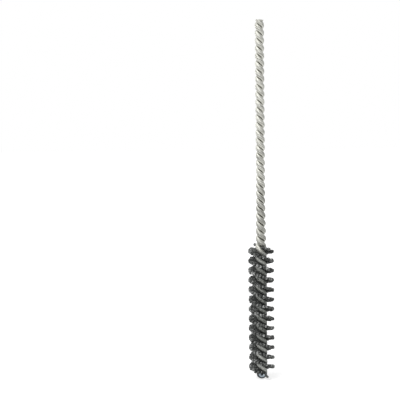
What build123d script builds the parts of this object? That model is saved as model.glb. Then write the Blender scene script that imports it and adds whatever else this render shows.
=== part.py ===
from build123d import *
from itertools import pairwise
from math import cos, hypot, radians, sin
import os

# A cylinder hone: one steel wire, folded in two and twisted, whose strands grip a spiral
# of nylon filaments, and each end of a filament carries a club of bonded abrasive.
# Millimetres, +Z up. Z is the axis of the twist, and the folded tip stands on Z = 0.

# Stem wire
wire_diameter = 1.7
strand_gap = 0.02
stem_pitch = 5.68
stem_length = 84.6
stem_settle_length = 18
pitch_change_length = 1.2
eye_straight_length = 1

# Filament spiral
brush_pitch = 7.31
row_count = 13
filaments_per_row = 12
first_row_height = 4.55
filament_width = 0.28
filament_gap = 0.005
nip_gap = 0.01

# Abrasive coats
brush_diameter = 9.7
coat_gap = 0.05
coat_standoff = 0.06
coat_rounding_length = 0.65
coat_end_share = 0.62

# Flat sides that stand for round ones
wire_sides = 6
bays_per_turn = 9
eye_bays = 6
coat_sides = 5

# Worked out from the sizes above
wire_radius = wire_diameter / 2
mid_bay_share = cos(radians(180 / bays_per_turn))
stem_strand_radius = (wire_radius + strand_gap / 2) / mid_bay_share
brush_strand_radius = (wire_radius + nip_gap + filament_width / 2) / mid_bay_share
row_height = brush_pitch / 2
filament_step = row_height / filaments_per_row
filament_turn = 180 / filaments_per_row
filament_height = filament_step - filament_gap
coat_start = brush_strand_radius + wire_radius + coat_standoff
coat_end = brush_diameter / 2
coat_belly = coat_end - coat_rounding_length
eye_height = wire_radius + brush_strand_radius
brush_top = first_row_height + (row_count - 0.5) * row_height
stem_top = brush_top + stem_length


def eased(distance, length):
    """The integral of a rate that grows evenly from 0 to 1 along a length, and then stays."""
    inside = min(max(distance, 0), length)
    return inside**2 / (2 * length) + max(distance - length, 0)


def turned(height):
    """Angle of the filaments at a height. The twist is left-handed and tighter in the stem."""
    brush_turns = eased(height - eye_height, eye_straight_length) / brush_pitch
    first_row_turns = eased(first_row_height - eye_height, eye_straight_length) / brush_pitch
    extra_turns = eased(height - brush_top, pitch_change_length) * (1 / stem_pitch - 1 / brush_pitch)
    return 360 * (first_row_turns - brush_turns - extra_turns)


def strand_radius(height):
    """Distance of a strand from the axis: the strands close up above the brush."""
    share = min(max((height - brush_top) / stem_settle_length, 0), 1)
    return brush_strand_radius + share * (stem_strand_radius - brush_strand_radius)


def strand_corner(height, side):
    """Point of a strand's centre line. The two strands, sides 1 and -1, face each other."""
    across = radians(turned(height) + 90 * side)
    radius = strand_radius(height)
    return (radius * cos(across), radius * sin(across), height)


def strand_heights():
    """Heights of the corners of a strand, from the eye at the tip to just past the cut."""
    heights = [eye_height, eye_height + eye_straight_length / 2]
    height = eye_height + eye_straight_length
    while height < stem_top + stem_pitch / bays_per_turn:
        heights.append(height)
        height += (brush_pitch if height < brush_top else stem_pitch) / bays_per_turn
    heights.append(height)
    return heights


def eye_corner(bay):
    """Point of the bend that joins the strands, from side 1 round to side -1."""
    around = radians(180 * bay / eye_bays)
    across = radians(turned(eye_height) + 90)
    reach = brush_strand_radius * cos(around)
    height = eye_height - brush_strand_radius * sin(around)
    return (reach * cos(across), reach * sin(across), height)


def filament_places(row):
    """Where the filaments of a row cross the axis: each is turned a little from the last."""
    places = []
    for step in range(filaments_per_row):
        along = row * filaments_per_row + step - (filaments_per_row - 1) / 2
        height = first_row_height + along * filament_step
        places.append(Location((0, 0, height), (0, 0, turned(height))))
    return places


def coat_size(radius):
    """Widest coat that clears the next filament's coat at a distance from the axis."""
    return hypot(radius * radians(filament_turn), filament_step) - coat_gap


def ring(distance, size):
    """Corners of a coat's flat-sided outline at a distance along its filament."""
    turns = [radians(360 * side / coat_sides) for side in range(coat_sides)]
    return [Vector(distance, size / 2 * cos(turn), size / 2 * sin(turn)) for turn in turns]


def coat_along_x():
    """A coat on +X: slim beside the wire, widest near its end and rounded off there."""
    rings = [
        ring(coat_start, coat_size(coat_start)),
        ring(coat_belly, coat_size(coat_belly)),
        ring(coat_end, coat_size(coat_belly) * coat_end_share),
    ]
    outlines = [rings[0], rings[-1]]
    for inner, outer in pairwise(rings):
        for side in range(coat_sides):
            outlines.append([inner[side - 1], inner[side], outer[side], outer[side - 1]])
    return Solid(Shell([Face(Wire.make_polygon(outline)) for outline in outlines]))


def save(piece, name):
    piece.label = name
    export_step(piece, f"parts/{name}.step")


os.makedirs("parts", exist_ok=True)

# The folded wire: down one strand, round the eye and up the other, then cut off square.
heights = strand_heights()
route = [strand_corner(height, 1) for height in reversed(heights)]
route += [eye_corner(bay) for bay in range(1, eye_bays)]
route += [strand_corner(height, -1) for height in heights]

with BuildPart() as stem_wire:
    with BuildLine() as centre_line:
        Polyline(*route)
    with BuildSketch(Plane(origin=route[0], z_dir=centre_line.line % 0)):
        RegularPolygon(wire_radius, wire_sides)
    sweep(transition=Transition.RIGHT)
    split(bisect_by=Plane.XY.offset(stem_top), keep=Keep.BOTTOM)
save(stem_wire.part, "stem_wire")

# Each half turn of the spiral shows as one row of tufts, with its filaments and their coats.
coat = coat_along_x()
for row in range(row_count):
    with BuildPart() as filaments:
        with Locations(*filament_places(row)):
            Box(2 * coat_start, filament_width, filament_height)
    save(filaments.part, f"row_{row + 1:02}_filaments")

    with BuildPart() as coats:
        with Locations(*filament_places(row)):
            with Locations(Location((0, 0, 0)), Location((0, 0, 0), (0, 0, 180))):
                add(coat)
    save(coats.part, f"row_{row + 1:02}_coats")
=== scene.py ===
"""Dresses a cylinder hone: the folded, twisted wire, its filaments, their coats and a studio."""
import math
import random

import bpy
from bpy.props import FloatProperty, FloatVectorProperty, IntProperty, PointerProperty
from mathutils import Matrix, Vector


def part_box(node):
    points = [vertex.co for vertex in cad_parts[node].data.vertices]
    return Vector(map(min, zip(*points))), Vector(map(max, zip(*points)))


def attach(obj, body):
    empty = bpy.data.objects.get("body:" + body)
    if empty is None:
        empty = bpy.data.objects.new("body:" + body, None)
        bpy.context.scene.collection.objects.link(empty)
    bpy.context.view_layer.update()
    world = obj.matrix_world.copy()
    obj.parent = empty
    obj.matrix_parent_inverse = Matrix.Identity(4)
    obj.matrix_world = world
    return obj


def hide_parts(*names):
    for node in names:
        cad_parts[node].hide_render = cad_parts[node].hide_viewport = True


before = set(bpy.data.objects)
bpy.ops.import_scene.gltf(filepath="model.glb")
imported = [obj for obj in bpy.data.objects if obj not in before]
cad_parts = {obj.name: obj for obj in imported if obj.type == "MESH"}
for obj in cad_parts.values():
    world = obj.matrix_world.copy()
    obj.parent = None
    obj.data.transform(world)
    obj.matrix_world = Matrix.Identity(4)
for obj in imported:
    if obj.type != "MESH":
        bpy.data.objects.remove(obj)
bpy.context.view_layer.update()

bl_info = {
    "name": "Cylinder Hone",
    "version": (1, 0, 0),
    "blender": (4, 5, 0),
    "location": "View3D > Sidebar > Hone",
    "description": "Models a twisted-wire cylinder hone and the studio it stands in",
    "category": "Object",
}

MM = 0.001
# The rows of tufts from the tip up, by what the names of their nodes begin with
ROWS = sorted(name[: -len("_coats")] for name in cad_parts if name.endswith("_coats"))


def middle_height(node):
    """Height of the middle of a node's solids."""
    low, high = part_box(node)
    return (low.z + high.z) / 2


FIRST_ROW_HEIGHT = middle_height(ROWS[0] + "_filaments")
ROW_SPACING = middle_height(ROWS[1] + "_filaments") - FIRST_ROW_HEIGHT
BRUSH_PITCH = 2 * ROW_SPACING
BRUSH_TOP = FIRST_ROW_HEIGHT + (len(ROWS) - 0.5) * ROW_SPACING
CUT_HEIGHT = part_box("stem_wire")[1].z
# No coat reaches further from the axis than this, as in the solids
BRUSH_REACH = 4.85 * MM


class HoneWireSettings(bpy.types.PropertyGroup):
    """Sizes and colours of the stem wire."""

    diameter: FloatProperty(
        name="Wire Diameter",
        description="Thickness of the round wire",
        default=1.84 * MM,
        unit="LENGTH",
        precision=5,
    )
    stem_pitch: FloatProperty(
        name="Stem Pitch",
        description="Height of one full turn of the strands in the bare stem",
        default=5.68 * MM,
        unit="LENGTH",
        precision=5,
    )
    pitch_change: FloatProperty(
        name="Pitch Change",
        description="Length over which the twist tightens above the brush",
        default=1.2 * MM,
        unit="LENGTH",
        precision=5,
    )
    stem_strand_radius: FloatProperty(
        name="Stem Strand Radius",
        description="Distance of a strand's centre from the axis in the stem",
        default=0.82 * MM,
        unit="LENGTH",
        precision=5,
    )
    brush_strand_radius: FloatProperty(
        name="Brush Strand Radius",
        description="Distance of a strand's centre from the axis in the brush",
        default=1.12 * MM,
        unit="LENGTH",
        precision=5,
    )
    settle_length: FloatProperty(
        name="Settle Length",
        description="Length above the brush over which the strands close up",
        default=18 * MM,
        unit="LENGTH",
        precision=5,
    )
    film: FloatProperty(
        name="Slurry Film",
        description="Thickness of the dried slurry on the wire in the brush",
        default=0.13 * MM,
        unit="LENGTH",
        precision=5,
    )
    eye_straight: FloatProperty(
        name="Eye Straight",
        description="Length above the eye over which the twist begins",
        default=1 * MM,
        unit="LENGTH",
        precision=5,
    )
    steel_colour: FloatVectorProperty(
        name="Steel",
        description="Colour of the drawn wire",
        subtype="COLOR",
        default=(0.505, 0.505, 0.465),
        min=0,
        max=1,
    )
    tip_colour: FloatVectorProperty(
        name="Bare Tip",
        description="Colour of the wire where it is bent round at the tip",
        subtype="COLOR",
        default=(0.3, 0.345, 0.38),
        min=0,
        max=1,
    )


class HoneBrushSettings(bpy.types.PropertyGroup):
    """Sizes and colours of the filaments and their coats."""

    per_row: IntProperty(
        name="Filaments per Row",
        description="Filaments in each half turn of the spiral",
        default=12,
        min=1,
    )
    filament_diameter: FloatProperty(
        name="Filament Diameter",
        description="Thickness of a nylon filament",
        default=0.33 * MM,
        unit="LENGTH",
        precision=5,
    )
    coat_thickness: FloatProperty(
        name="Coat Thickness",
        description="Thickness of a coat at its outer bead",
        default=1.15 * MM,
        unit="LENGTH",
        precision=5,
    )
    lump_size: FloatProperty(
        name="Lump Size",
        description="Width of the lumps on a coat",
        default=0.55 * MM,
        unit="LENGTH",
        precision=5,
    )
    resin_colour: FloatVectorProperty(
        name="Resin",
        description="Colour of the binder between the grains",
        subtype="COLOR",
        default=(0.038, 0.04, 0.038),
        min=0,
        max=1,
    )
    grain_colour: FloatVectorProperty(
        name="Grain",
        description="Colour of the abrasive grains",
        subtype="COLOR",
        default=(0.185, 0.195, 0.185),
        min=0,
        max=1,
    )
    nylon_colour: FloatVectorProperty(
        name="Nylon",
        description="Colour of the filaments",
        subtype="COLOR",
        default=(0.12, 0.122, 0.115),
        min=0,
        max=1,
    )


class HoneStageSettings(bpy.types.PropertyGroup):
    """Camera and light of the studio."""

    distance: FloatProperty(
        name="Camera Distance",
        description="Distance of the camera from the middle of the picture",
        default=366.6 * MM,
        unit="LENGTH",
    )
    elevation: FloatProperty(
        name="Camera Elevation",
        description="Angle of the view above the horizon",
        default=math.radians(3),
        subtype="ANGLE",
    )
    aside: FloatProperty(
        name="Camera Aside",
        description="How far the camera stands to the left of the hone",
        default=22.75 * MM,
        unit="LENGTH",
    )
    height: FloatProperty(
        name="Aim Height",
        description="Height of the middle of the picture",
        default=67.99 * MM,
        unit="LENGTH",
    )
    roll: FloatProperty(
        name="Camera Roll",
        description="Turn of the camera about its own line of sight",
        default=math.radians(-0.616),
        subtype="ANGLE",
    )
    lens: FloatProperty(
        name="Lens",
        description="Focal length on a 36 mm sensor",
        default=87.87,
        unit="CAMERA",
    )
    sky_strength: FloatProperty(
        name="Sky Strength",
        description="Strength of the even light from all round",
        default=0.33,
        min=0,
    )
    key_power: FloatProperty(
        name="Key Power",
        description="Power of the soft lamp high up in front on the left",
        default=5.1,
        min=0,
        unit="POWER",
    )
    front_power: FloatProperty(
        name="Front Power",
        description="Power of the soft lamp beside the camera",
        default=2.4,
        min=0,
        unit="POWER",
    )
    left_power: FloatProperty(
        name="Left Power",
        description="Power of the soft lamp behind on the left",
        default=2.9,
        min=0,
        unit="POWER",
    )


# Twist of the wire


def eased(distance, length):
    """The integral of a rate that grows evenly from 0 to 1 along a length, and then stays."""
    inside = min(max(distance, 0), length)
    return inside**2 / (2 * length) + max(distance - length, 0)


def share_of(distance, length):
    """How far along a length a distance is: 0 before it begins and 1 past its end."""
    return min(max(distance / length, 0), 1)


def eye_height(wire):
    """Height of the middle of the eye, from which the strands rise."""
    return wire.diameter / 2 + wire.brush_strand_radius


def turned(wire, height):
    """Angle of the filaments at a height. The twist is left-handed and tighter in the stem."""
    above_eye = eased(height - eye_height(wire), wire.eye_straight)
    first_row = eased(FIRST_ROW_HEIGHT - eye_height(wire), wire.eye_straight)
    above_brush = eased(height - BRUSH_TOP, wire.pitch_change)
    tighter = 1 / wire.stem_pitch - 1 / BRUSH_PITCH
    return -2 * math.pi * ((above_eye - first_row) / BRUSH_PITCH + above_brush * tighter)


def strand_point(wire, height, side):
    """Point of a strand's centre line. The two strands, sides 1 and -1, face each other."""
    share = share_of(height - BRUSH_TOP, wire.settle_length)
    radius = wire.brush_strand_radius + share * (wire.stem_strand_radius - wire.brush_strand_radius)
    across = turned(wire, height) + math.radians(90) * side
    return Vector((radius * math.cos(across), radius * math.sin(across), height))


def filaments_of(brush, row):
    """Numbers of a row's filaments, counted from 0 at the tip."""
    return range(row * brush.per_row, (row + 1) * brush.per_row)


def filament_height(brush, number):
    """Height at which a filament crosses the axis."""
    return FIRST_ROW_HEIGHT + (number - (brush.per_row - 1) / 2) * ROW_SPACING / brush.per_row


# Helpers for modelling


def deselect_all():
    """Deselects every object, in object mode."""
    if bpy.context.object and bpy.context.object.mode != "OBJECT":
        bpy.ops.object.mode_set(mode="OBJECT")
    bpy.ops.object.select_all(action="DESELECT")


def make_active(*pieces):
    """Selects these pieces alone, and makes the first of them active."""
    deselect_all()
    for piece in pieces:
        piece.select_set(True)
    bpy.context.view_layer.objects.active = pieces[0]


def draw_out(name, sides, outline):
    """Draws a ring out along +Z, from one (distance, radius) of the outline to the next."""
    deselect_all()
    here, radius = outline[0]
    bpy.ops.mesh.primitive_circle_add(
        vertices=sides, radius=radius, fill_type="NGON", location=(0, 0, 0), enter_editmode=True
    )
    piece = bpy.context.object
    piece.name = name
    bpy.ops.transform.translate(value=(0, 0, here))
    for distance, wider in outline[1:]:
        share = wider / radius
        bpy.ops.mesh.extrude_region_move(TRANSFORM_OT_translate={"value": (0, 0, distance - here)})
        bpy.ops.transform.resize(value=(share, share, 1), center_override=(0, 0, distance))
        here, radius = distance, wider
    bpy.ops.mesh.select_all(action="SELECT")
    bpy.ops.mesh.normals_make_consistent(inside=False)
    bpy.ops.object.mode_set(mode="OBJECT")
    return piece


def own_copy(piece, name, place):
    """Copy with its own mesh, moved there by its vertices."""
    copy = piece.copy()
    copy.name = name
    copy.data = piece.data.copy()
    copy.data.transform(place)
    bpy.context.collection.objects.link(copy)
    return copy


def join_all(pieces, name):
    """Joins pieces into the first of them."""
    make_active(*pieces)
    bpy.ops.object.join()
    pieces[0].name = name
    return pieces[0]


def remove(pieces):
    """Deletes pieces together with their meshes."""
    for piece in pieces:
        bpy.data.meshes.remove(piece.data)


def pointing_out(height, angle, droop=0.0):
    """Place on the axis whose own +Z points outwards at an angle, lowered by droop."""
    outwards = Matrix.Rotation(math.radians(90) + droop, 4, "Y")
    return Matrix.Translation((0, 0, height)) @ Matrix.Rotation(angle, 4, "Z") @ outwards


# Materials

# Colours of dried slurry, and of what the colours in the settings turn to in places, among them
# painted shade, painted highlights and painted glints
SLURRY_RESIN = (0.25, 0.27, 0.25, 1)
SLURRY_GRAIN = (0.4, 0.425, 0.395, 1)
SLURRY_GLINT = (0.46, 0.48, 0.46, 1)
SLURRY_DUST = (0.72, 0.74, 0.7, 1)
SLURRY_SPOT = (0.05, 0.053, 0.05, 1)
# Near-black painted shade for the wire's flanks among the coats
PAINTED_FLANK_SHADE = (0.028, 0.03, 0.028, 1)
ABRASIVE_GLINT = (0.26, 0.28, 0.27, 1)
# The abrasive's pale crowns below are worn and also a painted highlight; the next two colours are
# painted shade between the coats and deep in the brush
ABRASIVE_WORN_AND_HIGHLIGHT = (0.52, 0.53, 0.52, 1)
ABRASIVE_PAINTED_SHADE = (0.02, 0.021, 0.02, 1)
ABRASIVE_PAINTED_DEEP_SHADE = (0.014, 0.015, 0.014, 1)
NYLON_GLINT = (0.16, 0.17, 0.16, 1)
# How fine the patterns are: their parts to a metre, or to a millimetre across the wire
GRAINS_PER_METRE = 7000.0
DUST_GRAINS_PER_METRE = 9000.0
DUST_PATCHES_PER_METRE = 2500.0
SLURRY_PATCHES_PER_METRE = 900.0
SLURRY_SPOTS_PER_METRE = 1500.0
WORN_PATCHES_PER_METRE = 1300.0
STREAKS_PER_MM, SCRATCHES_PER_MM, DIE_LINES_PER_MM, THIN_PLACES_PER_MM = 2.4, 3.2, 9.0, 1.1
# How deep the bumps of each surface are
DIE_LINE_DEPTH = 0.02 * MM
CRUMB_DEPTH = 0.05 * MM
GRAIN_DEPTH = 0.07 * MM
DUST_DEPTH = 0.02 * MM
# Heights on the wire between which a finish comes in
BARE_TIP = (2.5 * MM, 1.9 * MM)
LOW_DUST = (18 * MM, 11 * MM)
HIGH_DUST = (BRUSH_TOP - 10 * MM, BRUSH_TOP - 6 * MM)
FEWER_STREAKS = (BRUSH_TOP + 11 * MM, BRUSH_TOP + 8 * MM)
MORE_STREAKS = (BRUSH_TOP + 28 * MM, BRUSH_TOP + 18 * MM)
# Painted shade: the coats are darker near the axis, deep in the brush, but not just above the tip
PAINTED_SHADE_DEEP_IN_COATS = (2.8 * MM, 1.8 * MM)
ABOVE_TIP = (2.4 * MM, 3.4 * MM)
# Several sockets of a Mix node have one name, so those for colours go by number
MIX_SHARE, MIX_FIRST, MIX_SECOND, MIX_RESULT = 0, 6, 7, 2


class Nodes:
    """Adds and links the nodes of one tree."""

    def __init__(self, tree):
        self.tree = tree

    def fill(self, node, inputs):
        """Gives a node its inputs: an output of another node is linked, other values are set."""
        for socket, value in dict(inputs).items():
            if isinstance(value, bpy.types.NodeSocket):
                self.tree.links.new(value, node.inputs[socket])
            else:
                node.inputs[socket].default_value = value
        return node

    def add(self, kind, inputs=(), **options):
        """New node with its options and inputs."""
        node = self.tree.nodes.new(kind)
        for name, value in options.items():
            setattr(node, name, value)
        return self.fill(node, inputs)

    def use(self, group, inputs):
        """A node group placed with its own values."""
        return self.add("ShaderNodeGroup", inputs, node_tree=group).outputs

    def math(self, operation, *values):
        return self.add("ShaderNodeMath", enumerate(values), operation=operation).outputs[0]

    def times(self, value, *others):
        """Product of all the values."""
        for other in others:
            value = self.math("MULTIPLY", value, other)
        return value

    def vector(self, operation, inputs):
        return self.add("ShaderNodeVectorMath", inputs, operation=operation).outputs[0]

    def axis(self, vector, name):
        """One of a vector's three parts."""
        return self.add("ShaderNodeSeparateXYZ", {"Vector": vector}).outputs[name]

    def from_axis(self, place):
        """Distance of a place from the axis of the hone."""
        squares = [self.math("POWER", self.axis(place, name), 2.0) for name in "XY"]
        return self.math("SQRT", self.math("ADD", *squares))

    def slope(self, value, low, high, first=0.0, last=1.0):
        """An even slope from first at low to last at high."""
        ends = {"From Min": low, "From Max": high, "To Min": first, "To Max": last}
        return self.add("ShaderNodeMapRange", {"Value": value, **ends}).outputs["Result"]

    def ramp(self, value, low, high):
        """0 up to low, 1 from high on, and smooth between them. Where low is greater, it falls."""
        inputs = {"Value": value, "From Min": low, "From Max": high}
        node = self.add("ShaderNodeMapRange", inputs, interpolation_type="SMOOTHSTEP")
        return node.outputs["Result"]

    def band(self, value, start, full, falls, gone):
        """1 from full to where it falls, and 0 before its start and once it is gone."""
        return self.times(self.ramp(value, start, full), self.ramp(value, gone, falls))

    def mix(self, share, first, second, blend_type="MIX"):
        """From the first colour to the second, by their share."""
        inputs = {MIX_SHARE: share, MIX_FIRST: first, MIX_SECOND: second}
        node = self.add("ShaderNodeMix", inputs, data_type="RGBA", blend_type=blend_type)
        return node.outputs[MIX_RESULT]

    def grey(self, value):
        """Grey of a brightness."""
        return self.add("ShaderNodeCombineColor", {0: value, 1: value, 2: value}).outputs[0]

    def noise(self, place, scale, detail=3.0, roughness=0.55):
        inputs = {"Vector": place, "Scale": scale, "Detail": detail, "Roughness": roughness}
        return self.add("ShaderNodeTexNoise", inputs).outputs["Fac"]

    def stretched(self, place, scale):
        """A place scaled on each axis: a small scale draws the pattern out."""
        return self.add("ShaderNodeMapping", {"Vector": place, "Scale": scale}).outputs["Vector"]

    def bump(self, height, depth, strength, **below):
        """Normal of a bumpy surface, over another one where its Normal is given."""
        inputs = {"Height": height, "Distance": depth, "Strength": strength, **below}
        return self.add("ShaderNodeBump", inputs).outputs["Normal"]


def opaque(colour, share=1):
    """A colour of the settings, or a share of it, with its alpha."""
    return (*(share * part for part in colour), 1)


def new_group(name, inputs, outputs):
    """Empty node group with the given (name, socket type, default) inputs and outputs."""
    group = bpy.data.node_groups.new(name, "ShaderNodeTree")
    for label, kind, default in inputs:
        socket = group.interface.new_socket(label, in_out="INPUT", socket_type=kind)
        if default is not None:
            socket.default_value = default
    for label, kind in outputs:
        group.interface.new_socket(label, in_out="OUTPUT", socket_type=kind)
    nodes = Nodes(group)
    return group, nodes, nodes.add("NodeGroupInput").outputs, nodes.add("NodeGroupOutput")


def bonded_grain_group():
    """Abrasive grains set in resin: their colour, their glints and how far they stand out."""
    name = "Bonded Grain"
    if name in bpy.data.node_groups:
        return bpy.data.node_groups[name]
    inputs = (
        ("Position", "NodeSocketVector", None),
        ("Grains per Metre", "NodeSocketFloat", GRAINS_PER_METRE),
        ("Resin", "NodeSocketColor", (0.03, 0.03, 0.03, 1)),
        ("Grain", "NodeSocketColor", (0.1, 0.1, 0.1, 1)),
        ("Glint", "NodeSocketColor", (0.3, 0.3, 0.3, 1)),
    )
    outputs = (
        ("Colour", "NodeSocketColor"),
        ("Glints", "NodeSocketFloat"),
        ("Height", "NodeSocketFloat"),
    )
    group, nodes, given, wanted = new_group(name, inputs, outputs)
    position, per_metre = given["Position"], given["Grains per Metre"]

    # The grains are cells, and a finer noise makes their edges jagged
    jagged = nodes.add("ShaderNodeTexNoise", {
        "Vector": position,
        "Scale": nodes.times(per_metre, 1.5),
        "Detail": 2.0,
    }).outputs["Color"]
    warp = nodes.vector("SUBTRACT", {0: jagged, 1: (0.5, 0.5, 0.5)})
    warp = nodes.vector("SCALE", {0: warp, "Scale": nodes.math("DIVIDE", 1.0, per_metre)})
    warped = nodes.vector("ADD", {0: position, 1: warp})
    cells = nodes.add("ShaderNodeTexVoronoi", {"Vector": warped, "Scale": per_metre}).outputs
    grain = nodes.ramp(cells["Distance"], 0.62, 0.3)

    # Each grain has its own tone, and a few of them glint: a painted glint in their colour, which
    # the abrasive's material also makes smoother
    chances = nodes.add("ShaderNodeSeparateColor", {"Color": cells["Color"]}).outputs
    shade = nodes.grey(nodes.math("MULTIPLY_ADD", chances["Red"], 0.9, 0.45))
    varied = nodes.mix(1.0, given["Grain"], shade, "MULTIPLY")
    glint = nodes.times(nodes.ramp(chances["Green"], 0.9, 0.98), grain)

    # They lie in clumps, with bare resin between them
    clumps = nodes.noise(position, nodes.times(per_metre, 0.22), 3.0, 0.6)
    packed = nodes.times(grain, nodes.ramp(clumps, 0.38, 0.56))
    colour = nodes.mix(packed, given["Resin"], varied)
    nodes.fill(wanted, {
        "Colour": nodes.mix(glint, colour, given["Glint"]),
        "Glints": glint,
        "Height": nodes.math("MULTIPLY_ADD", grain, 0.5, nodes.times(clumps, 1.6)),
    })
    return group


def slurry_group():
    """Mask of dried slurry: full in the brush, thinning out in patches up the stem."""
    name = "Dried Slurry"
    if name in bpy.data.node_groups:
        return bpy.data.node_groups[name]
    inputs = (
        ("Position", "NodeSocketVector", None),
        ("Full Below", "NodeSocketFloat", 0.05),
        ("Gone Above", "NodeSocketFloat", 0.07),
        ("Patches per Metre", "NodeSocketFloat", SLURRY_PATCHES_PER_METRE),
    )
    group, nodes, given, wanted = new_group(name, inputs, (("Mask", "NodeSocketFloat"),))
    height = nodes.axis(given["Position"], "Z")
    share = nodes.slope(height, given["Gone Above"], given["Full Below"])
    patches = nodes.noise(given["Position"], given["Patches per Metre"], 4.0, 0.6)
    spread = nodes.math("MULTIPLY_ADD", share, 1.1, nodes.math("SUBTRACT", patches, 0.75))
    nodes.fill(wanted, {"Mask": nodes.ramp(spread, -0.15, 0.35)})
    return group


def new_material(name):
    """Material with its nodes and its shader."""
    material = bpy.data.materials.new(name)
    material.use_nodes = True
    nodes = Nodes(material.node_tree)
    return material, nodes, material.node_tree.nodes["Principled BSDF"]


def drawn_steel(wire):
    """Drawn wire, dull and scratched along its length, with painted light on its flanks beside the
    grooves.

    Dried slurry covers it in the brush, and the bend at the tip is bare.
    """
    material, nodes, shader = new_material("Drawn Steel")
    place = nodes.add("ShaderNodeTexCoord").outputs["Object"]
    along = nodes.add("ShaderNodeUVMap", uv_map="Along_Wire").outputs["UV"]
    height = nodes.axis(place, "Z")
    # Millimetres round the wire, from 0 on its outermost line to 2.9 on its innermost
    across = nodes.math("ABSOLUTE", nodes.axis(along, "X"))

    # Dull streaks, thickest from 11 to 18 mm above the brush, scratches, and a band of painted
    # light on the flanks that lifts the shade of the grooves
    streaks = nodes.noise(nodes.stretched(along, (1, 0.1, 1)), STREAKS_PER_MM, 4.0, 0.6)
    dirt = nodes.slope(height, *MORE_STREAKS, 0.5, 1.0)
    dirt = nodes.math("MULTIPLY_ADD", nodes.ramp(height, *FEWER_STREAKS), -0.15, dirt)
    dull = nodes.ramp(streaks, nodes.math("MULTIPLY_ADD", dirt, 0.3, 0.42), 0.42)
    dull = nodes.times(dull, dirt)
    steel = nodes.mix(dull, opaque(wire.steel_colour), opaque(wire.steel_colour, 0.45))
    scratches = nodes.noise(nodes.stretched(along, (1, 0.08, 1)), SCRATCHES_PER_MM, 3.0, 0.6)
    scratched = nodes.times(nodes.ramp(scratches, 0.49, 0.41), 0.7)
    steel = nodes.mix(scratched, steel, opaque(wire.steel_colour, 0.3))
    # Painted light on the flanks beside the grooves, paler than the steel
    painted_groove_light = nodes.times(nodes.band(across, 0.6, 0.95, 1.15, 1.4), 0.6)
    steel = nodes.mix(painted_groove_light, steel, opaque(wire.steel_colour, 1.4))

    # Slurry, thin in places and paler with dust towards both ends of the brush
    slurry = nodes.use(slurry_group(), {
        "Position": place,
        "Full Below": BRUSH_TOP - 6 * MM,
        "Gone Above": BRUSH_TOP - 1 * MM,
        "Patches per Metre": SLURRY_PATCHES_PER_METRE,
    })["Mask"]
    grain = nodes.use(bonded_grain_group(), {
        "Position": place,
        "Grains per Metre": GRAINS_PER_METRE,
        "Resin": SLURRY_RESIN,
        "Grain": SLURRY_GRAIN,
        "Glint": SLURRY_GLINT,
    })
    ends = nodes.math("MAXIMUM", nodes.ramp(height, *LOW_DUST), nodes.ramp(height, *HIGH_DUST))
    dusty = nodes.mix(nodes.times(ends, 0.7), grain["Colour"], SLURRY_DUST)
    thin = nodes.noise(nodes.stretched(along, (1, 0.15, 1)), THIN_PLACES_PER_MM)
    thin = nodes.ramp(thin, 0.36, 0.6)
    covered = nodes.times(slurry, nodes.math("MULTIPLY_ADD", thin, -0.45, 0.9))
    colour = nodes.mix(covered, steel, dusty)

    # Dark spots on it, and near-black painted shade on the wire's flanks away from its outermost
    # line, where the coats shade it
    spots = nodes.ramp(nodes.noise(place, SLURRY_SPOTS_PER_METRE, 4.0, 0.65), 0.5, 0.6)
    spots = nodes.times(spots, nodes.math("MULTIPLY_ADD", ends, -0.5, 0.75), slurry)
    colour = nodes.mix(spots, colour, SLURRY_SPOT)
    painted_flank_shade = nodes.times(slurry, nodes.ramp(across, 0.3, 0.9))
    colour = nodes.mix(nodes.times(painted_flank_shade, 0.92), colour, PAINTED_FLANK_SHADE)
    covered = nodes.math("MAXIMUM", nodes.math("MAXIMUM", covered, spots), painted_flank_shade)

    # Bare bend at the tip, with a painted highlight on its flanks and painted shade along its
    # outermost and innermost lines
    tip = nodes.ramp(height, *BARE_TIP)
    painted_tip_highlight = nodes.band(across, 1.0, 1.4, 2.1, 2.5)
    tip_painted_light_and_shade = nodes.mix(painted_tip_highlight, opaque(wire.tip_colour, 0.16), opaque(wire.tip_colour))
    colour = nodes.mix(tip, colour, tip_painted_light_and_shade)
    covered = nodes.times(covered, nodes.math("SUBTRACT", 1.0, tip))

    rough = nodes.math("MULTIPLY_ADD", streaks, 0.3, 0.38)
    rough = nodes.math("MULTIPLY_ADD", covered, 0.2, rough)
    die_lines = nodes.noise(nodes.stretched(along, (1, 0.03, 1)), DIE_LINES_PER_MM, 3.0, 0.6)
    lined = nodes.bump(die_lines, DIE_LINE_DEPTH, 0.35)
    crumbs = nodes.times(covered, grain["Height"])
    nodes.fill(shader, {
        "Base Color": colour,
        "Metallic": nodes.math("SUBTRACT", 1.0, covered),
        "Roughness": nodes.math("SUBTRACT", rough, nodes.times(tip, 0.24)),
        "Specular IOR Level": 0.2,
        "Normal": nodes.bump(crumbs, CRUMB_DEPTH, 0.4, Normal=lined),
    })
    return material


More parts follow.
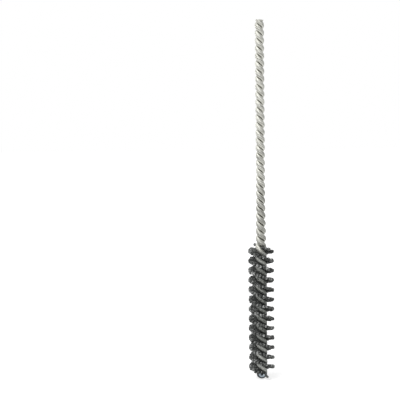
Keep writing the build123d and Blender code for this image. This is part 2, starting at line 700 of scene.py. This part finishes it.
def bonded_abrasive(brush):
    """Grain in dark resin, worn pale in patches on the crowns, which is also a painted highlight,
    with painted shade between the coats and deep in the brush.
    """
    material, nodes, shader = new_material("Bonded Abrasive")
    place = nodes.add("ShaderNodeTexCoord").outputs["Object"]
    grain = nodes.use(bonded_grain_group(), {
        "Position": place,
        "Grains per Metre": GRAINS_PER_METRE,
        "Resin": opaque(brush.resin_colour),
        "Grain": opaque(brush.grain_colour),
        "Glint": ABRASIVE_GLINT,
    })
    crown = nodes.add("ShaderNodeAttribute", attribute_name="Crown").outputs["Fac"]
    # Painted shade on the coats' sides and necks, where they meet and shade each other
    painted_gap_shade = nodes.times(nodes.ramp(crown, 0.35, 0.05), 0.5)
    colour = nodes.mix(painted_gap_shade, grain["Colour"], ABRASIVE_PAINTED_SHADE)
    patches = nodes.noise(place, WORN_PATCHES_PER_METRE, 3.0, 0.6)
    # Pale worn patches on the crowns, which also stand in as a painted highlight on the beads
    worn_and_highlight = nodes.times(crown, nodes.ramp(patches, 0.45, 0.6), 0.95)
    colour = nodes.mix(worn_and_highlight, colour, ABRASIVE_WORN_AND_HIGHLIGHT)
    # Painted shade deep in the brush, near the axis
    painted_deep_shade = nodes.ramp(nodes.from_axis(place), *PAINTED_SHADE_DEEP_IN_COATS)
    painted_deep_shade = nodes.times(painted_deep_shade, nodes.ramp(nodes.axis(place, "Z"), *ABOVE_TIP), 0.25)
    colour = nodes.mix(painted_deep_shade, colour, ABRASIVE_PAINTED_DEEP_SHADE)
    rough = nodes.math("MULTIPLY_ADD", patches, 0.3, 0.5)
    nodes.fill(shader, {
        "Base Color": colour,
        "Roughness": nodes.math("SUBTRACT", rough, nodes.times(grain["Glints"], 0.2)),
        "Specular IOR Level": 0.15,
        "Normal": nodes.bump(grain["Height"], GRAIN_DEPTH, 0.9),
    })
    return material


def dark_nylon(brush):
    """Nylon, dusted with grain in patches."""
    material, nodes, shader = new_material("Dark Nylon")
    place = nodes.add("ShaderNodeTexCoord").outputs["Object"]
    grain = nodes.use(bonded_grain_group(), {
        "Position": place,
        "Grains per Metre": DUST_GRAINS_PER_METRE,
        "Resin": opaque(brush.nylon_colour),
        "Grain": opaque(brush.nylon_colour, 0.6),
        "Glint": NYLON_GLINT,
    })
    dust = nodes.ramp(nodes.noise(place, DUST_PATCHES_PER_METRE), 0.4, 0.6)
    nodes.fill(shader, {
        "Base Color": nodes.mix(dust, opaque(brush.nylon_colour), grain["Colour"]),
        "Roughness": nodes.math("MULTIPLY_ADD", dust, 0.3, 0.35),
        "Normal": nodes.bump(grain["Height"], DUST_DEPTH, 0.4),
    })
    return material


def background_rays(nodes):
    """1 for what the camera sees, straight on or in metal or glass."""
    path = nodes.add("ShaderNodeLightPath").outputs
    direct = nodes.math("MAXIMUM", path["Is Camera Ray"], path["Is Glossy Ray"])
    return nodes.math("MAXIMUM", direct, path["Is Transmission Ray"])


def studio_white():
    """Pale floor that looks white to the camera and in reflections, apart from the shadow on it."""
    material, nodes, shader = new_material("Studio White")
    place = nodes.add("ShaderNodeTexCoord").outputs["Object"]
    tone = nodes.math("MULTIPLY_ADD", nodes.noise(place, 30.0), 0.02, 0.79)
    # It shines more of itself further out, where no shadow falls
    away = nodes.ramp(nodes.from_axis(place), 0.15, 0.6)
    lift = nodes.math("MULTIPLY_ADD", away, 0.26, 0.58)
    nodes.fill(shader, {
        "Base Color": nodes.grey(tone),
        "Roughness": 0.9,
        "Specular IOR Level": 0.0,
        "Emission Color": (1, 1, 1, 1),
        "Emission Strength": nodes.times(background_rays(nodes), lift),
    })
    return material


# Stem wire

# Slurry builds up from nothing to its full thickness over this length
FILM_FADE = 2 * MM
# Left between the strands where they are pressed flat
STRAND_GAP = 0.02 * MM
# A strand is pressed flat from this share of its diameter inwards of its centre
FLAT_FROM = 0.42
# How much wider than a half circle the eye is, at its shoulders
EYE_BULGE = 0.08
RINGS_PER_TURN = 24
EYE_RINGS = 14
SIDES_OF_WIRE = 16
# Where the pattern on the cut end begins, clear of the pattern round the wire
CUT_MARKS_START = 6
# A face is the cut end when it faces up more than this, within this much of the cut
CUT_FACES_UP = 0.99
CUT_NEARNESS = 0.01 * MM
# Corners nearer to the cut than this count as on it. Blender's own value is too coarse here
CUT_THRESHOLD = 1e-7
# Edges turned by less than this angle are smooth
WIRE_SMOOTH = math.radians(50)


def wire_route(wire):
    """Centre line of the folded wire: down one strand, round the eye and up the other."""
    heights, height = [], eye_height(wire)
    while height < CUT_HEIGHT + wire.diameter:
        heights.append(height)
        height += (BRUSH_PITCH if height < BRUSH_TOP else wire.stem_pitch) / RINGS_PER_TURN
    route = [strand_point(wire, height, 1) for height in reversed(heights)]
    across = turned(wire, eye_height(wire)) + math.radians(90)
    for ring in range(1, EYE_RINGS):
        around = math.pi * ring / EYE_RINGS
        bulge = 1 + EYE_BULGE * math.sin(2 * around) ** 2
        reach = wire.brush_strand_radius * math.cos(around) * bulge
        low = eye_height(wire) - wire.brush_strand_radius * math.sin(around)
        route.append(Vector((reach * math.cos(across), reach * math.sin(across), low)))
    return route + [strand_point(wire, height, -1) for height in heights]


def lay_pattern_along_wire(piece, route, wire):
    """UV map in millimetres: U around the wire from its outermost line, V along it."""
    angles, runs, run = [], [], 0.0
    for ring, centre in enumerate(route):
        ahead = route[min(ring + 1, len(route) - 1)]
        behind = route[max(ring - 1, 0)]
        tangent = (ahead - behind).normalized()
        outwards = centre - Vector((0, 0, max(centre.z, eye_height(wire))))
        outwards = (outwards - tangent * outwards.dot(tangent)).normalized()
        aside = tangent.cross(outwards)
        run += (centre - behind).length
        for side in range(SIDES_OF_WIRE):
            spoke = piece.data.vertices[ring * SIDES_OF_WIRE + side].co - centre
            angles.append(math.atan2(spoke.dot(aside), spoke.dot(outwards)))
            runs.append(run)
    layer = piece.data.uv_layers[0]
    layer.name = "Along_Wire"
    for face in piece.data.polygons:
        first = angles[face.vertices[0]]
        for loop in face.loop_indices:
            vertex = piece.data.loops[loop].vertex_index
            angle = first + math.remainder(angles[vertex] - first, 2 * math.pi)
            layer.uv[loop].vector = (angle * wire.diameter / 2 / MM, runs[vertex] / MM)


def lay_pattern_on_cut(piece):
    """Straight shear marks across the cut end of the strands."""
    layer = piece.data.uv_layers["Along_Wire"]
    for face in piece.data.polygons:
        if face.normal.z < CUT_FACES_UP or face.center.z < CUT_HEIGHT - CUT_NEARNESS:
            continue
        for loop in face.loop_indices:
            place = piece.data.vertices[piece.data.loops[loop].vertex_index].co / MM
            layer.uv[loop].vector = (CUT_MARKS_START + place.x, place.y)


def press_flat(piece, route, wire):
    """Flattens the strands above the brush where they touch, and closes the groove between them."""
    for vertex in piece.data.vertices:
        place = vertex.co
        if place.z < BRUSH_TOP:
            continue
        side = 1 if vertex.index < len(route) / 2 * SIDES_OF_WIRE else -1
        centre = strand_point(wire, place.z, side)
        outwards = Vector((centre.x, centre.y, 0)).normalized()
        reach = place.dot(outwards)
        inside = reach < centre.dot(outwards) - FLAT_FROM * wire.diameter
        if inside or reach < STRAND_GAP / 2:
            vertex.co = place + (STRAND_GAP / 2 - reach) * outwards


class HONE_OT_stem_wire(bpy.types.Operator):
    """Model the folded wire whose twisted strands are the stem and the core of the brush"""

    bl_idname = "hone.stem_wire"
    bl_label = "Stem Wire"

    def execute(self, context):
        wire = context.scene.hone_wire
        route = wire_route(wire)
        deselect_all()
        bpy.ops.curve.primitive_nurbs_path_add()
        piece = context.object
        piece.name = "Stem_Wire"
        piece.data.splines.clear()
        spline = piece.data.splines.new("POLY")
        spline.points.add(len(route) - 1)
        for point, place in zip(spline.points, route):
            point.co = (*place, 1)
            filmed = share_of(BRUSH_TOP - place.z, FILM_FADE)
            filmed *= share_of(place.z - eye_height(wire), FILM_FADE)
            point.radius = 1 + filmed * wire.film / (wire.diameter / 2)
        piece.data.bevel_depth = wire.diameter / 2
        # A curve's bevel has 4 sides, and 2 more for each step of its resolution
        piece.data.bevel_resolution = (SIDES_OF_WIRE - 4) // 2
        bpy.ops.object.convert(target="MESH")
        lay_pattern_along_wire(piece, route, wire)
        press_flat(piece, route, wire)
        bpy.ops.object.mode_set(mode="EDIT")
        bpy.ops.mesh.select_all(action="SELECT")
        bpy.ops.mesh.bisect(
            plane_co=(0, 0, CUT_HEIGHT),
            plane_no=(0, 0, 1),
            use_fill=True,
            clear_outer=True,
            threshold=CUT_THRESHOLD,
        )
        bpy.ops.mesh.select_all(action="SELECT")
        bpy.ops.mesh.normals_make_consistent(inside=False)
        bpy.ops.object.mode_set(mode="OBJECT")
        bpy.ops.object.shade_smooth_by_angle(angle=WIRE_SMOOTH)
        lay_pattern_on_cut(piece)
        piece.data.materials.append(drawn_steel(wire))
        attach(piece, "root")
        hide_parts("stem_wire")
        return {"FINISHED"}


# Filaments

FILAMENT_REACH = 2.1 * MM
SIDES_OF_FILAMENT = 8
# Shares of the reach and of the radius: the wire nips the filament in the middle
FILAMENT_OUTLINE = (
    (-1, 0.8), (-0.97, 1), (-0.35, 1), (0, 0.86), (0.35, 1), (0.97, 1), (1, 0.8),
)
FILAMENT_SMOOTH = math.radians(60)


class HONE_OT_filaments(bpy.types.Operator):
    """Model one nylon filament, nipped in the middle by the wire, and copy it along the spiral"""

    bl_idname = "hone.filaments"
    bl_label = "Filaments"

    def execute(self, context):
        wire, brush = context.scene.hone_wire, context.scene.hone_brush
        nylon = dark_nylon(brush)
        radius = brush.filament_diameter / 2
        rings = [(along * FILAMENT_REACH, share * radius) for along, share in FILAMENT_OUTLINE]
        pattern = draw_out("Filament_Pattern", SIDES_OF_FILAMENT, rings)
        bpy.ops.object.shade_smooth_by_angle(angle=FILAMENT_SMOOTH)
        for row, node in enumerate(ROWS):
            copies = []
            for number in filaments_of(brush, row):
                height = filament_height(brush, number)
                place = pointing_out(height, turned(wire, height))
                copies.append(own_copy(pattern, "Filament", place))
            piece = join_all(copies, f"Filaments_{row + 1:02}")
            piece.data.materials.append(nylon)
            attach(piece, "root")
            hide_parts(node + "_filaments")
        remove([pattern])
        return {"FINISHED"}


# Abrasive coats

# Along three coats, of two beads, three beads and a club: the distance from the axis and the
# radius in millimetres, and how pale the crown is, by wear and painted highlight
COAT_OUTLINES = (
    (
        (1.7, 0.22, 0), (1.95, 0.34, 0.2), (2.4, 0.39, 0.6), (2.8, 0.41, 0.7), (3.15, 0.35, 0),
        (3.5, 0.43, 0.6), (3.85, 0.5, 1), (4.2, 0.53, 1), (4.54, 0.51, 0.9), (4.76, 0.43, 1),
        (4.9, 0.29, 0.7),
    ),
    (
        (1.7, 0.22, 0), (1.95, 0.34, 0.3), (2.35, 0.39, 0.7), (2.7, 0.33, 0), (3.05, 0.4, 0.7),
        (3.4, 0.44, 0.8), (3.7, 0.38, 0), (4.0, 0.48, 0.8), (4.44, 0.52, 1), (4.75, 0.43, 1),
        (4.9, 0.29, 0.7),
    ),
    (
        (1.7, 0.22, 0), (2.0, 0.34, 0.2), (2.6, 0.38, 0.5), (3.1, 0.38, 0.1), (3.6, 0.46, 0.8),
        (4.0, 0.51, 0.9), (4.3, 0.53, 1), (4.58, 0.5, 0.9), (4.78, 0.41, 1), (4.9, 0.28, 0.7),
    ),
)
# The ring at the shoulder of a coat's outermost bead
SHOULDER = -4
SIDES_OF_COAT = 9
COAT_SMOOTH = math.radians(75)
COAT_TALLNESS = 1.12
LUMP_HEIGHT = 0.14 * MM
# Sway and droop in degrees, and shares of the usual thickness and length
USUAL_COAT = (0, 0, 1, 1)
# The same for stray coats at the ends of the spiral, by filament and end
STRAY_COATS = {
    (0, 1): (37, 19, 0.85, 0.97),
    (151, 0): (0, 4, 0.85, 1),
    (152, 0): (0, 0, 0.85, 0.78),
    (153, 1): (0, 0, 0.6, 0.62),
    (154, 0): (0, 0, 0.85, 0.95),
    (154, 1): (7, -13, 1, 0.98),
    (155, 0): (0, 0, 0.5, 0.5),
    (155, 1): (0, 0, 0.6, 0.6),
}
# How far coats stray from the usual: in degrees, in shares, in radians and in millimetres
SWAY_SPREAD, DROOP_SPREAD = 1.8, 1.3
THICKNESS_RANGE, LENGTH_RANGE = (0.9, 1.0), (0.985, 1.0)
ROLL_RANGE = (-0.3, 0.3)
HEIGHT_SPREAD = 0.03
# How pale the crowns of a coat are, against those of a usual one
WEAR_RANGE = (0.25, 1.65)
# How much of that paleness is lost at its sides, which are darkened as painted shade where the
# coats meet
SIDES_IN_PAINTED_SHADE = 0.8
# Seed of the first row's random draws
FIRST_SEED = 41
# Slurry in the slot above the eye, and shares of its depth and width
PLUG_DEPTH, PLUG_WIDTH, PLUG_HEIGHT, PLUG_LIFT = 1.7 * MM, 0.56 * MM, 1.9 * MM, 0.4 * MM
PLUG_OUTLINE = ((-0.5, 0.4), (-0.4, 0.5), (0.4, 0.5), (0.5, 0.4))
# Shares of a usual coat's thickness, both ways, and of its length
END_BEAD_SIZE = (0.75, 0.75, 0.5)


class HONE_OT_coats(bpy.types.Operator):
    """Model the beaded abrasive coats and copy them to both ends of each filament"""

    bl_idname = "hone.coats"
    bl_label = "Abrasive Coats"

    def execute(self, context):
        wire, brush = context.scene.hone_wire, context.scene.hone_brush
        abrasive = bonded_abrasive(brush)
        widest = max(radius for outline in COAT_OUTLINES for _, radius, _ in outline) * 2 * MM
        share = brush.coat_thickness / widest
        patterns = []
        for kind, outline in enumerate(COAT_OUTLINES):
            rings = [(distance * MM, radius * MM * share) for distance, radius, _ in outline]
            pattern = draw_out(f"Coat_Pattern_{kind}", SIDES_OF_COAT, rings)
            self.mark_crowns(pattern, outline)
            patterns.append(pattern)
        lumps = bpy.data.textures.new("Coat Lumps", "CLOUDS")
        lumps.noise_scale = brush.lump_size
        lumps.noise_depth = 1
        for row, node in enumerate(ROWS):
            chance = random.Random(FIRST_SEED + row)
            copies = []
            for number in filaments_of(brush, row):
                height = filament_height(brush, number)
                for end in (0, 1):
                    angle = turned(wire, height) + end * math.pi
                    stray = STRAY_COATS.get((number, end), USUAL_COAT)
                    place = self.place(chance, height, angle, *stray)
                    coat = own_copy(chance.choice(patterns), "Coat", place)
                    self.wear(coat, chance.uniform(*WEAR_RANGE))
                    copies.append(coat)
            if row == 0:
                copies += [self.plug(wire), self.end_bead(wire, brush, patterns[-1])]
            piece = join_all(copies, f"Coats_{row + 1:02}")
            self.roughen(piece, lumps)
            piece.data.materials.append(abrasive)
            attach(piece, "root")
            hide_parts(node + "_coats")
        remove(patterns)
        return {"FINISHED"}

    def mark_crowns(self, pattern, outline):
        """Marks how pale a coat is, by wear and painted highlight: most on the crowns of its beads,
        and less at its sides, which get painted shade.
        """
        crowns = pattern.data.attributes.new("Crown", "FLOAT", "POINT")
        shoulder = outline[SHOULDER][1]
        for vertex in pattern.data.vertices:
            _, radius, pale = min(outline, key=lambda ring: abs(ring[0] * MM - vertex.co.z))
            sideways = min(abs(vertex.co.y) / (max(shoulder, radius) * MM), 1)
            crowns.data[vertex.index].value = pale * (1 - SIDES_IN_PAINTED_SHADE * sideways**2)

    def place(self, chance, height, angle, sway, droop, thick, long):
        """Place of a coat on its filament. No two are quite alike, and all are taller than wide."""
        angle += math.radians(sway + chance.gauss(0, SWAY_SPREAD))
        lowered = math.radians(droop + chance.gauss(0, DROOP_SPREAD))
        thick *= chance.uniform(*THICKNESS_RANGE)
        long *= chance.uniform(*LENGTH_RANGE)
        size = Matrix.Diagonal((COAT_TALLNESS * thick, thick, long, 1))
        roll = Matrix.Rotation(chance.uniform(*ROLL_RANGE), 4, "Z")
        height += chance.gauss(0, HEIGHT_SPREAD) * MM
        return pointing_out(height, angle, lowered) @ size @ roll

    def wear(self, coat, share):
        """Makes the crowns of one coat paler or darker than its neighbours'."""
        for crown in coat.data.attributes["Crown"].data:
            crown.value *= share

    def plug(self, wire):
        """Dried slurry that fills the slot between the strands just above the eye."""
        rings = [(along * PLUG_DEPTH, share * PLUG_WIDTH) for along, share in PLUG_OUTLINE]
        plug = draw_out("Plug", SIDES_OF_COAT, rings)
        plug.data.transform(Matrix.Diagonal((PLUG_HEIGHT / PLUG_WIDTH, 1, 1, 1)))
        height = eye_height(wire) + PLUG_LIFT
        plug.data.transform(pointing_out(height, turned(wire, height)))
        return plug

    def end_bead(self, wire, brush, pattern):
        """Short coat on the first filament, where its long one has been pushed aside."""
        height = filament_height(brush, 0)
        place = pointing_out(height, turned(wire, height) + math.pi)
        return own_copy(pattern, "End_Bead", place @ Matrix.Diagonal((*END_BEAD_SIZE, 1)))

    def roughen(self, piece, lumps):
        """Lumps over the coats, which still end inside the reach of the brush."""
        swell = piece.modifiers.new("Lumps", "DISPLACE")
        swell.texture = lumps
        swell.texture_coords = "LOCAL"
        swell.strength = LUMP_HEIGHT
        make_active(piece)
        bpy.ops.object.modifier_apply(modifier=swell.name)
        for vertex in piece.data.vertices:
            far = math.hypot(vertex.co.x, vertex.co.y)
            if far > BRUSH_REACH:
                vertex.co.x *= BRUSH_REACH / far
                vertex.co.y *= BRUSH_REACH / far
        bpy.ops.object.shade_smooth_by_angle(angle=COAT_SMOOTH)


# Stage

FLOOR_RADIUS = 40
FLOOR_SIDES = 64
# Place and size of each soft lamp, in metres, and the setting with its power
LAMPS = {
    "Key": ((-0.42, -0.5, 0.85), 0.7, "key_power"),
    "Front": ((-0.2, -0.9, 0.3), 0.4, "front_power"),
    "Left": ((-0.75, 0.45, 0.25), 0.6, "left_power"),
}
LAMPS_AIM = Vector((0, 0, 0.07))
NEAREST_SEEN = 0.01


class HONE_OT_stage(bpy.types.Operator):
    """Set up the floor, the lamps, the world and the camera"""

    bl_idname = "hone.stage"
    bl_label = "Stage"

    def execute(self, context):
        stage = context.scene.hone_stage
        deselect_all()
        bpy.ops.mesh.primitive_circle_add(
            vertices=FLOOR_SIDES, radius=FLOOR_RADIUS, fill_type="NGON"
        )
        floor = context.object
        floor.name = "Floor"
        floor.data.materials.append(studio_white())
        self.camera(stage)
        for name, (place, size, power) in LAMPS.items():
            self.lamp(name, place, size, getattr(stage, power))
        self.world(stage)
        context.scene.view_settings.view_transform = "Standard"
        return {"FINISHED"}

    def camera(self, stage):
        """Camera in front of the hone and to its left, aimed at the middle of the picture."""
        aim = Vector((-stage.aside, 0, stage.height))
        back = Vector((0, -math.cos(stage.elevation), math.sin(stage.elevation)))
        bpy.ops.object.camera_add(location=aim + back * stage.distance)
        camera = bpy.context.object
        camera.data.lens = stage.lens
        camera.data.clip_start = NEAREST_SEEN
        turn = (-back).to_track_quat("-Z", "Y").to_matrix() @ Matrix.Rotation(stage.roll, 3, "Z")
        camera.rotation_euler = turn.to_euler()
        bpy.context.scene.camera = camera

    def lamp(self, name, place, size, power):
        """Soft square lamp that faces the middle of the hone."""
        bpy.ops.object.light_add(type="AREA", location=place)
        lamp = bpy.context.object
        lamp.name = name
        lamp.data.energy = power
        lamp.data.size = size
        lamp.rotation_euler = (LAMPS_AIM - lamp.location).to_track_quat("-Z", "Y").to_euler()

    def world(self, stage):
        """Even light all round, with a background that looks white."""
        world = bpy.data.worlds.new("Studio")
        bpy.context.scene.world = world
        world.use_nodes = True
        nodes = Nodes(world.node_tree)
        nodes.fill(world.node_tree.nodes["Background"], {
            "Color": (1, 1, 1, 1),
            "Strength": nodes.math("MAXIMUM", background_rays(nodes), stage.sky_strength),
        })


# Panel and registration


class HONE_PT_panel(bpy.types.Panel):
    """Sizes, colours and steps of the cylinder hone"""

    bl_idname = "HONE_PT_panel"
    bl_label = "Cylinder Hone"
    bl_space_type = "VIEW_3D"
    bl_region_type = "UI"
    bl_category = "Hone"

    def draw(self, context):
        scene = context.scene
        for settings, steps in (
            (scene.hone_wire, (HONE_OT_stem_wire,)),
            (scene.hone_brush, (HONE_OT_filaments, HONE_OT_coats)),
            (scene.hone_stage, (HONE_OT_stage,)),
        ):
            box = self.layout.box()
            for name in type(settings).__annotations__:
                box.prop(settings, name)
            for step in steps:
                box.operator(step.bl_idname)


CLASSES = (
    HoneWireSettings,
    HoneBrushSettings,
    HoneStageSettings,
    HONE_OT_stem_wire,
    HONE_OT_filaments,
    HONE_OT_coats,
    HONE_OT_stage,
    HONE_PT_panel,
)


def register():
    for item in CLASSES:
        bpy.utils.register_class(item)
    bpy.types.Scene.hone_wire = PointerProperty(type=HoneWireSettings)
    bpy.types.Scene.hone_brush = PointerProperty(type=HoneBrushSettings)
    bpy.types.Scene.hone_stage = PointerProperty(type=HoneStageSettings)


def unregister():
    del bpy.types.Scene.hone_stage
    del bpy.types.Scene.hone_brush
    del bpy.types.Scene.hone_wire
    for item in reversed(CLASSES):
        bpy.utils.unregister_class(item)


def main():
    register()
    bpy.ops.hone.stem_wire()
    bpy.ops.hone.filaments()
    bpy.ops.hone.coats()
    bpy.ops.hone.stage()


if __name__ == "__main__":
    main()
